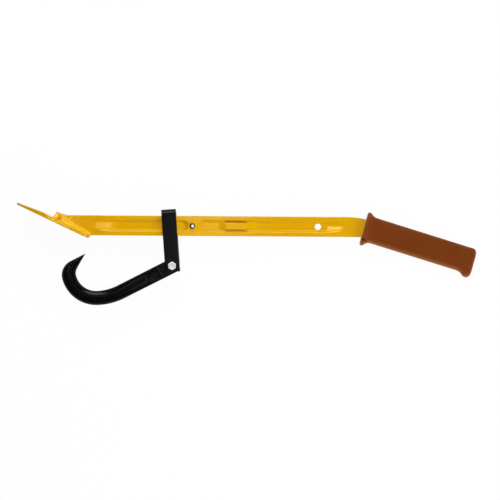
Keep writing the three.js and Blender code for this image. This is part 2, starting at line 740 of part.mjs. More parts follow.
// The strap hangs down on the bar's upper side, so its middle plane lies under the bar's
const strapSink = (strapGap - barThickness) / 2 - fitGap;
const strap = new THREE.Group();
strap.position.set(-boltReach, -boltDrop, -strapSink);
const hanger = piece('hook_strap', hookStrap(), blackLacquer);
hanger.rotation.z = strapTilt;
const hook = piece('cant_hook', cantHook(), blackLacquer);
hook.rotation.set(Math.PI, 0, Math.PI + hookTurn, 'ZYX');
strap.add(
  hanger,
  hook,
  piece('pivot_bolt', pivotBolt(), zincPlate),
  piece('nut_washer', nutWasher(), zincPlate),
  piece('lock_nut', lockNut(), zincPlate),
  piece('lock_nut_insert', lockNutInsert(), nylon),
);
tool.add(strap);

// The tool lies on the lower corner of its blade's heel and on the flat side of its grip, at the grip's end
const heelCorner = new THREE.Vector3(bladeLength - bladeCorner, bladeThickness, -bladeWidth / 2);
const gripRest = new THREE.Vector3(gripLength - gripEndRound, 0, -gripThickness / 2);
const restLine = gripRest.applyMatrix4(gripPlace).sub(heelCorner.applyMatrix4(bladePlace));
const groundUp = restLine.cross(gripUp).normalize();
const roll = Math.atan2(groundUp.y, groundUp.z);
const pitch = Math.atan2(-groundUp.x, Math.hypot(groundUp.y, groundUp.z));
tool.rotation.set(roll, pitch, 0, 'YXZ');
tool.updateMatrixWorld(true);
const extent = new THREE.Box3().setFromObject(tool, true);
const centre = extent.getCenter(new THREE.Vector3());
tool.position.set(-centre.x, -centre.y, -extent.min.z);

const fellingLever = new THREE.Group();
fellingLever.add(tool);
fellingLever.updateMatrixWorld(true);

export default fellingLever;
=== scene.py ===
"""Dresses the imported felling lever: enamelled bar and blade, lacquered hook and strap, moulded grip.

Sizes are in millimetres in the tool's own frame: the stop pin is the origin, X runs along the bar to the
grip, Y is up the bar's height and Z is its thickness, towards the camera. in_row() takes them to the frame.
"""
import json
import math

import bmesh
import bpy
import numpy as np
from mathutils import Matrix


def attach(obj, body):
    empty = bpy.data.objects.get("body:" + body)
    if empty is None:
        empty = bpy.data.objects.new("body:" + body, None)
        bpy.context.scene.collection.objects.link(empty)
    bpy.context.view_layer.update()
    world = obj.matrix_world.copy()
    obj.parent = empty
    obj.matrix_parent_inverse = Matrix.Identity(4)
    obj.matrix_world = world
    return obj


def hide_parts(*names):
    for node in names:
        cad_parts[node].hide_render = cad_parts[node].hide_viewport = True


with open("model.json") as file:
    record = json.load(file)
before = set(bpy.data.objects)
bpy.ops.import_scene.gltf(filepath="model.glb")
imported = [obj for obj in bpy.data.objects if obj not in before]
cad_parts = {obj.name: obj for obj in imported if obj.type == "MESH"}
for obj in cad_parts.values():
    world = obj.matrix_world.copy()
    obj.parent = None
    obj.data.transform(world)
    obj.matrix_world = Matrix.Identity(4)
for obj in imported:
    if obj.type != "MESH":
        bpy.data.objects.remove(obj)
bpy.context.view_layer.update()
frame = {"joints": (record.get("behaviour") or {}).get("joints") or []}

# The tool's axes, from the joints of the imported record
joints = {joint["name"]: joint for joint in frame["joints"]}
ALONG = np.array(joints["strap_slide"]["axis"], float)
ALONG /= np.linalg.norm(ALONG)
OUTWARD = np.array(joints["hook_pivot"]["axis"], float)
OUTWARD /= np.linalg.norm(OUTWARD)
AXES = np.array([ALONG, np.cross(OUTWARD, ALONG), OUTWARD])
BOLT = np.array([-34.4, -69.4, -0.95])
PIN = np.array(joints["hook_pivot"]["pos_m"], float) * 1000 - BOLT @ AXES


def in_row(points):
    """Tool millimetres to row metres."""
    return (points @ AXES + PIN) / 1000


def turned_about(points, degrees, place):
    """Points of a piece's own frame in the tool's frame: turned about Z, then moved to their place."""
    angle = math.radians(degrees)
    x = points[..., 0] * math.cos(angle) - points[..., 1] * math.sin(angle)
    y = points[..., 0] * math.sin(angle) + points[..., 1] * math.cos(angle)
    return np.stack([x + place[0], y + place[1], points[..., 2] + place[2]], -1)


# Camera and lamps

VIEW_TARGET = np.array([100.0, -41.0, 0.0])
VIEW_DISTANCE = 3100
VIEW_WIDTH = 867.5
VIEW_ROLL = math.radians(0.39)


def aim(thing, place, target, up):
    """Puts a camera or lamp at a tool point, looking at another, with its top towards up."""
    back = np.array(place, float) - np.array(target, float)
    back /= np.linalg.norm(back)
    right = np.cross(up, back)
    right /= np.linalg.norm(right)
    turn = np.array([right, np.cross(back, right), back]) @ AXES
    matrix = np.eye(4)
    matrix[:3, :3] = turn.T
    matrix[:3, 3] = in_row(np.array(place, float))
    thing.matrix_world = Matrix(matrix.tolist())


camera_data = bpy.data.cameras.new("photo_camera")
camera_data.lens = camera_data.sensor_width * VIEW_DISTANCE / VIEW_WIDTH
camera_data.clip_start = 0.1
camera_data.clip_end = 60
camera = bpy.data.objects.new("photo_camera", camera_data)
bpy.context.scene.collection.objects.link(camera)
bpy.context.scene.camera = camera
aim(camera, VIEW_TARGET + [0, 0, VIEW_DISTANCE], VIEW_TARGET, [-math.sin(VIEW_ROLL), math.cos(VIEW_ROLL), 0])


def softbox(name, place, width, height, radiance, mirrored=True):
    """A rectangular lamp that gives the same radiance over its face, aimed at the middle of the tool. A fill lamp
    that isn't mirrored lights the tool without showing in its gloss."""
    lamp = bpy.data.lights.new(name, "AREA")
    lamp.shape = "RECTANGLE"
    lamp.size = width / 1000
    lamp.size_y = height / 1000
    lamp.energy = radiance * math.pi * lamp.size * lamp.size_y
    thing = bpy.data.objects.new(name, lamp)
    thing.visible_glossy = mirrored
    bpy.context.scene.collection.objects.link(thing)
    aim(thing, place, [place[0] / 8, -10, 0], [0, 1, 0] if abs(place[1]) < 1500 else [1, 0, 0])


softbox("softbox_over", [-140, 2050, 2000], 1900, 1350, 8.2)
softbox("fill_under", [900, -2050, 1900], 3600, 2600, 1.65, mirrored=False)
softbox("fill_right", [2750, -200, 1500], 1200, 1200, 6.6, mirrored=False)
softbox("fill_low", [1700, -1150, 350], 1000, 600, 9.0, mirrored=False)
# Far strips over the tool, which its flat faces and ramps mirror
softbox("strip_right", [1650, 0, 12000], 1000, 4000, 4.8)
softbox("strip_left", [-1635, 1020, 12000], 310, 1960, 12.5)
softbox("strip_middle", [-220, 0, 12000], 520, 4000, 2.2)
softbox("strip_land", [-388, 0, 11900], 84, 4000, 3.2)

scene = bpy.context.scene
scene.view_settings.view_transform = "Standard"


# Nodes and finishes

def node(tree, kind, inputs=None, **settings):
    """Adds a node with its settings, and sets or links its inputs by name or number."""
    made = tree.nodes.new(kind)
    for key, value in settings.items():
        setattr(made, key, value)
    for key, value in (inputs or {}).items():
        if isinstance(value, bpy.types.NodeSocket):
            tree.links.new(value, made.inputs[key])
        else:
            made.inputs[key].default_value = value
    return made


def linear(code):
    """An sRGB hex colour as linear RGBA."""
    parts = [int(code[k:k + 2], 16) / 255 for k in (0, 2, 4)]
    return [part / 12.92 if part <= 0.04045 else ((part + 0.055) / 1.055) ** 2.4 for part in parts] + [1.0]


def finish(name):
    """A new material, its empty tree and its object coordinates, which are in metres. A noise of scale s has its
    spots about 1000 / s millimetres apart."""
    material = bpy.data.materials.new(name)
    material.use_nodes = True
    tree = material.node_tree
    tree.nodes.clear()
    return material, tree, node(tree, "ShaderNodeTexCoord").outputs["Object"]


def stoved_enamel(name, dark, light, roughness):
    """Stoved yellow enamel over forged steel: glossy, with a faint orange peel and a slow drift of colour. On the
    weld it is duller, and its colour is painted paler there as painted light."""
    material, tree, place = finish(name)
    drift = node(tree, "ShaderNodeTexNoise", {"Vector": place, "Scale": 22.0, "Detail": 2.0})
    tone = node(tree, "ShaderNodeMix", {0: drift.outputs["Fac"], 6: linear(dark), 7: linear(light)},
                data_type="RGBA")
    # Painted shade: the colour is painted darker in the narrow grooves, beside the weld and towards the lip's tip,
    # and darker still in a ring round the pin
    for mark, colour in (("painted_shade", "AC7400"), ("painted_pin_shade", "5A3200")):
        share = node(tree, "ShaderNodeAttribute", attribute_name=mark)
        tone = node(tree, "ShaderNodeMix", {0: share.outputs["Fac"], 6: tone.outputs[2], 7: linear(colour)},
                    data_type="RGBA")
    # Orange peel about 2 mm apart, over the forging's waves, about 15 mm apart
    peel = node(tree, "ShaderNodeTexNoise", {"Vector": place, "Scale": 480.0, "Detail": 1.0})
    waves = node(tree, "ShaderNodeTexNoise", {"Vector": place, "Scale": 65.0, "Detail": 1.0})
    wavy = node(tree, "ShaderNodeBump", {"Height": waves.outputs["Fac"], "Strength": 0.05, "Distance": 0.0006})
    skin = node(tree, "ShaderNodeBump", {"Height": peel.outputs["Fac"], "Strength": 0.05, "Distance": 0.0001,
                                         "Normal": wavy.outputs["Normal"]})
    coat = node(tree, "ShaderNodeBsdfPrincipled", {
        "Base Color": tone.outputs[2], "Roughness": roughness, "Normal": skin.outputs["Normal"],
        "Specular IOR Level": 0.45, "Specular Tint": linear("FFF08C")})
    # Where the lip's edge is ground, the bare steel shows. Its grit is drawn 1 mm coarse, so that it shows
    ground = node(tree, "ShaderNodeAttribute", attribute_name="ground")
    grit = node(tree, "ShaderNodeTexNoise", {"Vector": place, "Scale": 900.0, "Detail": 2.0})
    bare_tone = node(tree, "ShaderNodeMix", {0: grit.outputs["Fac"], 6: linear("6E6A62"), 7: linear("9A958A")},
                     data_type="RGBA")
    bare = node(tree, "ShaderNodeBsdfPrincipled", {
        "Base Color": bare_tone.outputs[2], "Metallic": 1.0, "Roughness": 0.38})
    ragged = node(tree, "ShaderNodeMath", {0: ground.outputs["Fac"], 1: grit.outputs["Fac"]}, operation="ADD")
    mask = node(tree, "ShaderNodeMapRange", {"Value": ragged.outputs[0], "From Min": 0.85, "From Max": 1.15})
    both = node(tree, "ShaderNodeMixShader", {0: mask.outputs[0], 1: coat.outputs[0], 2: bare.outputs[0]})
    node(tree, "ShaderNodeOutputMaterial", {"Surface": both.outputs[0]})
    return material


def black_lacquer():
    """Black lacquer over forged steel: deep black, glossy, with the forging's shallow dents showing through."""
    material, tree, place = finish("black_lacquer")
    # Dents about 8 mm apart, where the gloss changes a little too, and orange peel about 1.7 mm apart
    dents = node(tree, "ShaderNodeTexNoise", {"Vector": place, "Scale": 130.0, "Detail": 2.0})
    peel = node(tree, "ShaderNodeTexNoise", {"Vector": place, "Scale": 600.0, "Detail": 1.0})
    worn = node(tree, "ShaderNodeMapRange", {"Value": dents.outputs["Fac"], "To Min": 0.08, "To Max": 0.15})
    dented = node(tree, "ShaderNodeBump", {"Height": dents.outputs["Fac"], "Strength": 0.05, "Distance": 0.0005})
    skin = node(tree, "ShaderNodeBump", {"Height": peel.outputs["Fac"], "Strength": 0.06, "Distance": 0.0001,
                                         "Normal": dented.outputs["Normal"]})
    coat = node(tree, "ShaderNodeBsdfPrincipled", {
        "Base Color": linear("060606"), "Roughness": worn.outputs[0], "Normal": skin.outputs["Normal"],
        "Specular IOR Level": 0.095})
    node(tree, "ShaderNodeOutputMaterial", {"Surface": coat.outputs[0]})
    return material


def zinc_plate():
    """Bright zinc plate on stamped steel: a cold silver metal, cloudy and uneven, whose bloom scatters light as
    paint does, so it is metallic by six tenths."""
    material, tree, place = finish("bright_zinc_plate")
    # The stamping's unevenness is drawn about 1.4 mm coarse, so that it shows
    cloud = node(tree, "ShaderNodeTexNoise", {"Vector": place, "Scale": 700.0, "Detail": 3.0})
    tone = node(tree, "ShaderNodeMix", {0: cloud.outputs["Fac"], 6: linear("D4D6D8"), 7: linear("F2F2EF")},
                data_type="RGBA")
    rough = node(tree, "ShaderNodeMapRange", {"Value": cloud.outputs["Fac"], "To Min": 0.42, "To Max": 0.62})
    skin = node(tree, "ShaderNodeBump", {"Height": cloud.outputs["Fac"], "Strength": 0.7, "Distance": 0.0003})
    coat = node(tree, "ShaderNodeBsdfPrincipled", {
        "Base Color": tone.outputs[2], "Metallic": 0.6, "Roughness": rough.outputs[0],
        "Normal": skin.outputs["Normal"]})
    node(tree, "ShaderNodeOutputMaterial", {"Surface": coat.outputs[0]})
    return material


def spring_steel():
    """Spring steel of a slotted pin under its dull, brown-black oxide."""
    material, tree, place = finish("dark_spring_steel")
    scale = node(tree, "ShaderNodeTexNoise", {"Vector": place, "Scale": 900.0, "Detail": 2.0})
    tone = node(tree, "ShaderNodeMix", {0: scale.outputs["Fac"], 6: linear("1E0D00"), 7: linear("2C1603")},
                data_type="RGBA")
    coat = node(tree, "ShaderNodeBsdfPrincipled", {
        "Base Color": tone.outputs[2], "Roughness": 0.7, "Specular IOR Level": 0.02})
    node(tree, "ShaderNodeOutputMaterial", {"Surface": coat.outputs[0]})
    return material


def brown_vinyl():
    """Moulded vinyl: satin brown, with a fine grain from the mould and slightly cloudy pigment."""
    material, tree, place = finish("moulded_brown_vinyl")
    cloud = node(tree, "ShaderNodeTexNoise", {"Vector": place, "Scale": 35.0, "Detail": 4.0, "Roughness": 0.6})
    tone = node(tree, "ShaderNodeMix", {0: cloud.outputs["Fac"], 6: linear("652B09"), 7: linear("71360F")},
                data_type="RGBA")
    # Paler on the lips, as wear and as a painted sheen that is stronger on their lower side; a painted sheen along
    # the foot, and painted shade in the crease
    for mark, colour in (("wear_and_painted_sheen", "B06C3C"), ("crease_and_painted_shade", "360E08")):
        share = node(tree, "ShaderNodeAttribute", attribute_name=mark)
        tone = node(tree, "ShaderNodeMix", {0: share.outputs["Fac"], 6: tone.outputs[2], 7: linear(colour)},
                    data_type="RGBA")
    # Mould grain: pits about 1.2 mm apart
    grain = node(tree, "ShaderNodeTexNoise", {"Vector": place, "Scale": 850.0, "Detail": 2.0})
    skin = node(tree, "ShaderNodeBump", {"Height": grain.outputs["Fac"], "Strength": 0.5, "Distance": 0.00025})
    coat = node(tree, "ShaderNodeBsdfPrincipled", {
        "Base Color": tone.outputs[2], "Roughness": 0.46, "Normal": skin.outputs["Normal"],
        "Specular IOR Level": 0.2, "Specular Tint": linear("F0C090"),
        "Sheen Weight": 0.35, "Sheen Roughness": 0.4, "Sheen Tint": linear("E89A50")})
    node(tree, "ShaderNodeOutputMaterial", {"Surface": coat.outputs[0]})
    return material


def nylon():
    """Moulded nylon of a locking ring: blue, satin, a little cloudy."""
    material, tree, place = finish("nylon_ring")
    cloud = node(tree, "ShaderNodeTexNoise", {"Vector": place, "Scale": 600.0})
    tone = node(tree, "ShaderNodeMix", {0: cloud.outputs["Fac"], 6: linear("2C66A4"), 7: linear("3A7ABC")},
                data_type="RGBA")
    coat = node(tree, "ShaderNodeBsdfPrincipled", {"Base Color": tone.outputs[2], "Roughness": 0.5})
    node(tree, "ShaderNodeOutputMaterial", {"Surface": coat.outputs[0]})
    return material


ENAMEL = stoved_enamel("stoved_yellow_enamel", "D69C01", "DDA703", 0.075)
# Over the weld, a copy of the enamel whose colour is painted paler for the light the weld catches, and which is
# rougher
WELD_ENAMEL_PAINTED_PALER = stoved_enamel("enamel_painted_paler_over_weld", "E4AC12", "EEB81A", 0.2)
LACQUER = black_lacquer()
ZINC = zinc_plate()
SPRING = spring_steel()
VINYL = brown_vinyl()
NYLON = nylon()


# Surfaces

def skin_of(rings, join=False):
    """Quads between rings of the same number of nodes, each ring closed on itself; join links last to first."""
    count, size = rings.shape[:2]
    index = np.arange(count * size).reshape(count, size)
    if join:
        index = np.vstack([index, index[:1]])
    near = index[:-1]
    far = index[1:]
    return np.stack([near, np.roll(near, -1, 1), np.roll(far, -1, 1), far], -1)


def fan_caps(rings):
    """Two more points in the middle of the end rings, and the triangles that close the ends with them."""
    count, size = rings.shape[:2]
    middles = np.stack([rings[0].mean(0), rings[-1].mean(0)])
    total = count * size
    first = np.arange(size)
    last = first + total - size
    start = np.stack([np.roll(first, -1), first, np.full(size, total)], -1)
    end = np.stack([last, np.roll(last, -1), np.full(size, total + 1)], -1)
    return middles, np.vstack([start, end])


def make(name, points, faces, body, material, nodes, sharp=38, marks=None):
    """A closed mesh in the row frame that rides on a body and stands for CAD nodes. Faces end up pointing out.
    Marks are named shares by point, which a material reads as attributes."""
    mesh = bpy.data.meshes.new(name)
    lists = []
    for group in faces:
        lists += group.reshape(-1, group.shape[-1]).tolist()
    mesh.from_pydata(in_row(points).tolist(), [], lists)
    for label, shares in (marks or {}).items():
        layer = mesh.attributes.new(label, "FLOAT", "POINT")
        layer.data.foreach_set("value", shares.reshape(-1).astype(np.float32))
    work = bmesh.new()
    work.from_mesh(mesh)
    loose = [vert for vert in work.verts if not vert.link_faces]
    bmesh.ops.delete(work, geom=loose, context="VERTS")
    bmesh.ops.remove_doubles(work, verts=work.verts, dist=1e-7)
    bmesh.ops.recalc_face_normals(work, faces=work.faces)
    work.to_mesh(mesh)
    work.free()
    mesh.polygons.foreach_set("use_smooth", np.ones(len(mesh.polygons), bool))
    mesh.set_sharp_from_angle(angle=math.radians(sharp))
    mesh.materials.append(material)
    thing = bpy.data.objects.new(name, mesh)
    bpy.context.scene.collection.objects.link(thing)
    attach(thing, body)
    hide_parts(*nodes)
    return thing


class FlatSection:
    """The nodes round the section of a flat bar with round edges.

    A node has a place q across the face (-2 to 2, where -1 to 1 is an evenly spaced block), a place g through
    the thickness (-1 to 1) and a direction (c, s) on the edge's round.
    """

    def __init__(self, block, rest, corner, side):
        """Steps from the middle to the block's edge, from there to the round, over a quarter round and across
        the side."""
        inner = np.linspace(-1, 1, 2 * block + 1)
        outer = 1 + np.arange(1, rest + 1) / rest
        face = np.concatenate([-outer[::-1], inner, outer])
        arc = math.pi / 2 * np.arange(1, corner) / corner
        edge = np.linspace(1, -1, side + 1)
        flat = np.ones_like(face)
        bend = np.ones_like(arc)
        rim = np.ones_like(edge)
        self.block = block
        self.q = np.concatenate([face, 2 * bend, 2 * rim, 2 * bend, face[::-1], -2 * bend, -2 * rim, -2 * bend])
        self.g = np.concatenate([flat, bend, edge, -bend, -flat, -bend, -edge, bend])
        self.c = np.concatenate([0 * flat, np.sin(arc), rim, np.cos(arc), 0 * flat, -np.sin(arc), -rim,
                                 -np.cos(arc)])
        self.s = np.concatenate([flat, np.cos(arc), 0 * edge, -np.sin(arc), -flat, -np.cos(arc), 0 * edge,
                                 np.sin(arc)])
        key = np.stack([self.q, self.g, self.c, self.s], -1)
        mirror = key * [1, -1, 1, -1]
        self.partner = np.abs(mirror[:, None] - key[None]).sum(-1).argmin(1)
        front = np.flatnonzero(self.g > 0)
        gap = np.flatnonzero(np.diff(front) > 1)
        self.front = np.roll(front, -(gap[0] + 1)) if len(gap) else front
        self.on_face = np.abs(self.s) == 1

    def across(self, half_width, edge, block_half):
        """A node's way across, by ring and node: the block's half times q, past 1 the rest of the flat as well,
        and the edge's radius times c."""
        reach = np.abs(self.q)
        flat = half_width - edge
        place = np.minimum(reach, 1) * block_half + np.maximum(reach - 1, 0) * (flat - block_half)
        return np.sign(self.q) * place + edge * self.c

    def through(self, half_thickness, edge):
        """A node's way through, by ring and node: g times the flat side's half, and the edge's radius times s."""
        return self.g * (half_thickness - edge) + edge * self.s

    def caps(self, count):
        """Strips that close the two end rings from face to face."""
        here = self.front
        there = self.partner[here]
        strip = np.stack([here[:-1], here[1:], there[1:], there[:-1]], -1)
        return np.concatenate([strip, strip + (count - 1) * len(self.q)])


def open_hole(section, along, across, middle, reach, start, radius):
    """Turns square rings of nodes into circles round a hole: each place is a blend of its circle and its square,
    from all circle at the hole's ring to all square at the patch's edge, with a ring's nodes spread evenly round
    the circle. Gives the new places, the nodes within the hole and the hole's wall.
    """
    step = np.arange(along.shape[0])[:, None] - middle
    row = section.q[None] * section.block
    inside = section.on_face[None] & (np.abs(row) <= reach + 1e-6) & (np.abs(step) <= reach)
    a = np.broadcast_to(step / reach, along.shape)
    b = np.broadcast_to(row / reach, along.shape)
    level = np.where(inside, np.maximum(np.abs(a), np.abs(b)), 9.0)
    safe = np.where(level == 0, 1, level)
    steep = np.abs(b) > np.abs(a)
    ratio = np.where(steep, a / np.where(b == 0, 1, b), b / np.where(a == 0, 1, a))
    angle = np.where(steep, np.sign(b) * math.pi / 2 - math.pi / 4 * ratio,
                     np.where(a < 0, math.pi, 0) + math.pi / 4 * ratio)
    centre_along = along[middle, 0]
    size_along = along[middle + reach, 0] - centre_along
    size_across = across[middle][np.flatnonzero(section.on_face & (np.abs(row[0] - reach) < 1e-6))[0]]
    t = np.clip((level - start / reach) / (1 - start / reach), 0, 1)
    new_along = centre_along + (1 - t) * radius * np.cos(angle) + t * size_along * a / safe
    new_across = (1 - t) * radius * np.sin(angle) + t * size_across * b / safe
    along = np.where(inside, new_along, along)
    across = np.where(inside, new_across, across)
    size = along.shape[1]
    ring = np.argwhere(inside & (np.abs(level - start / reach) < 1e-6) & (section.s[None] > 0))
    ring = ring[np.argsort(np.mod(angle[ring[:, 0], ring[:, 1]], 2 * math.pi))]
    near = ring[:, 0] * size + ring[:, 1]
    far = ring[:, 0] * size + section.partner[ring[:, 1]]
    wall = np.stack([near, np.roll(near, -1), np.roll(far, -1), far], -1)
    return along, across, level <= start / reach + 1e-6, wall


def without(quads, gone):
    """The quads of a skin that don't lie wholly on the nodes of a hole."""
    flat = gone.reshape(-1)
    quads = quads.reshape(-1, 4)
    return quads[~flat[quads].all(-1)]


def soft(share, blend):
    """A share held between 0 and 1 with round corners: half of the size of t, less that of t - 1, plus 1, where
    blend rounds off each size at nought."""
    return (np.sqrt(share ** 2 + blend ** 2) - np.sqrt((share - 1) ** 2 + blend ** 2) + 1) / 2


# Lip blade's frame: tip at the origin, X back to the heel, Y square to its underside
BLADE_ANGLE = 25
BLADE_LENGTH = 133.5
BLADE_THICKNESS = 6.3
BLADE_HALF = 38
BLADE_TIP_HALF = 31
BLADE_CORNER = 7
RIDGE_START = 68.8
RIDGE_END = 77.8
RIDGE_RISE = 12.3
lean = math.radians(BLADE_ANGLE)
BLADE_TIP = np.array([-183 - BLADE_LENGTH * math.cos(lean), -20.6 + BLADE_LENGTH * math.sin(lean), 0])

# Bar
BAR_HALF = 17.3
BAR_FACE = 6.0
BAR_EDGE = 1.2
WEB_DEPTH = 3.2
PAD_HEIGHT = 2.6
PIN_HOLE = 4.05
HANG_HOLE = 5.45
HANG_PLACE = 217.4
BEND_START = 263.5
BEND_SPAN = 222
GRIP_TURN = 17.05
GRIP_MOUTH = np.array([297.7, -1.1])
GRIP_LENGTH = 198.9


def pocket(x, y, rim_start, floor_start, floor_end, rim_end):
    """Share of a pressed pocket's depth: side walls, and ends that start on half circles of the rim."""
    half = 8.8
    inset = half - np.sqrt(np.maximum(half ** 2 - y ** 2, 0))
    wall = soft((9.9 - np.abs(y)) / 3.4, 0.12)
    first = (x - rim_start - inset) / (floor_start - rim_start)
    last = (rim_end - inset - x) / (rim_end - floor_end)
    ends = soft(first, 1.1 / (floor_start - rim_start)) * soft(last, 1.1 / (rim_end - floor_end))
    return wall * ends


def pad_share(x):
    """The raised pad's height along the bar: a short ramp up, a flat top and a longer ramp down."""
    return soft((x - 47.7) / 11.3, 0.1) * soft((110 - x) / 20.6, 0.06)


def bar_depth(x, y):
    """How deep the bar's side lies under its face: two pockets, less the raised pad in the second."""
    depth = WEB_DEPTH * pocket(x, y, -169.2, -137.9, -11.0, -8.2)
    depth += WEB_DEPTH * pocket(x, y, 9.7, 14.8, 232.5, 264.6)
    return depth - PAD_HEIGHT * soft((7.0 - np.abs(y)) / 1.3, 0.12) * pad_share(x)


def bend_lines(share):
    """The bar's top and foot beyond the straight part: line, arc and the tang's line, by share of their length."""
    turn = math.radians(GRIP_TURN)
    lines = []
    for height, tang_half, radius in ((BAR_HALF, 16, 190), (-BAR_HALF, -16, 40)):
        mouth = GRIP_MOUTH + tang_half * np.array([math.sin(turn), math.cos(turn)])
        corner = mouth[0] - (height - mouth[1]) / math.tan(turn)
        end = mouth + 186 * np.array([math.cos(turn), -math.sin(turn)])
        ease = radius * math.tan(turn / 2)
        angle = turn * np.linspace(0, 1, 24)
        x = np.concatenate([[BEND_START], corner - ease + radius * np.sin(angle), [end[0]]])
        y = np.concatenate([[height], height - radius * (1 - np.cos(angle)), [end[1]]])
        length = np.concatenate([[0], np.cumsum(np.hypot(np.diff(x), np.diff(y)))])
        lines.append((np.interp(share * length[-1], length, x), np.interp(share * length[-1], length, y)))
    return lines


def lever_bar():
    """The bar as one flat section on some 400 stations. Its face is the pressed depth, its foot is cut on the
    blade's upper face and the ridge's back, and beyond the straight part it is ruled between two bent lines."""
    section = FlatSection(20, 7, 4, 3)
    block_half = 9.8
    cell = block_half / section.block
    pin_patch = cell * np.arange(-14, 15)
    hang_patch = HANG_PLACE + cell * np.arange(-20, 21)
    start = 70
    straight = np.concatenate([
        np.arange(-140, -24, 4.0), np.arange(-24, -6.95, 0.55), pin_patch, np.arange(7.4, 22, 0.55),
        np.arange(22.2, 46, 4.0), np.arange(46, 62, 0.8), np.arange(62, 88, 2.0), np.arange(88, 112, 1.2),
        np.arange(112, 207, 5.0), hang_patch, np.arange(228.2, BEND_START - 0.5, 1.2), [BEND_START]])
    bend = np.concatenate([np.arange(2, 62, 2.0), np.linspace(62, BEND_SPAN, 12)]) / BEND_SPAN
    count = start + len(straight) + len(bend)
    one = np.ones((count, 1))
    y = section.across(BAR_HALF * one, BAR_EDGE, block_half)
    z = section.through(BAR_FACE * one, BAR_EDGE)
    x = np.zeros_like(y)
    # The foot's cut: first up the blade's face, then up the back of the ridge
    nook = turned_about(np.array([RIDGE_END - 0.2, BLADE_THICKNESS - 0.1, 0]), -BLADE_ANGLE, BLADE_TIP)
    rise = y[0] - nook[1]
    foot = nook[0] + np.where(rise < 0, -rise / math.tan(lean), rise * math.tan(lean))
    share = (np.arange(start) / start)[:, None]
    x[:start] = foot + (straight[0] - foot) * share
    x[start:start + len(straight)] = straight[:, None]
    x[start + len(straight):] = (BEND_START + BEND_SPAN * bend)[:, None]
    gone = np.zeros_like(x, bool)
    walls = []
    for place, reach, ring, radius in ((0.0, 14, 8, PIN_HOLE), (HANG_PLACE, 20, 11, HANG_HOLE)):
        middle = start + int(np.argmin(np.abs(straight - place)))
        x, y, inner, wall = open_hole(section, x, y, middle, reach, ring, radius)
        gone |= inner
        walls.append(wall)
    z = z - np.where(section.on_face, np.sign(z) * bar_depth(x, y), 0)
    beyond = np.clip((x - BEND_START) / BEND_SPAN, 0, 1)
    (top_x, top_y), (foot_x, foot_y) = bend_lines(beyond)
    rise = (y + BAR_HALF) / (2 * BAR_HALF)
    bent_x = foot_x + (top_x - foot_x) * rise
    bent_y = foot_y + (top_y - foot_y) * rise
    x = np.where(beyond > 0, bent_x, x)
    y = np.where(beyond > 0, bent_y, y)
    # Painted shade: the enamel is painted darker in the grooves between the pad and the pocket's walls, and on the
    # face beside the weld
    painted_shade = soft((np.abs(y) - 5.6) / 1.2, 0.1) * soft((10.9 - np.abs(y)) / 1.6, 0.1)
    painted_shade = painted_shade * soft((pad_share(x) - 0.6) / 0.35, 0.1) * section.on_face
    painted_shade = painted_shade + 0.25 * soft((-148 - x) / 12, 0.2) * section.on_face
    # Painted shade in a ring round the pin's hole
    painted_pin_shade = soft((5.3 - np.hypot(x, y)) / 0.7, 0.1) * section.on_face
    rings = np.stack([x, y, z], -1)
    quads = without(skin_of(rings), gone)
    return make("enamelled_bar", rings.reshape(-1, 3), [quads, section.caps(count), *walls], "lever",
                ENAMEL, ["lever_bar"], marks={"painted_shade": painted_shade, "painted_pin_shade": painted_pin_shade})


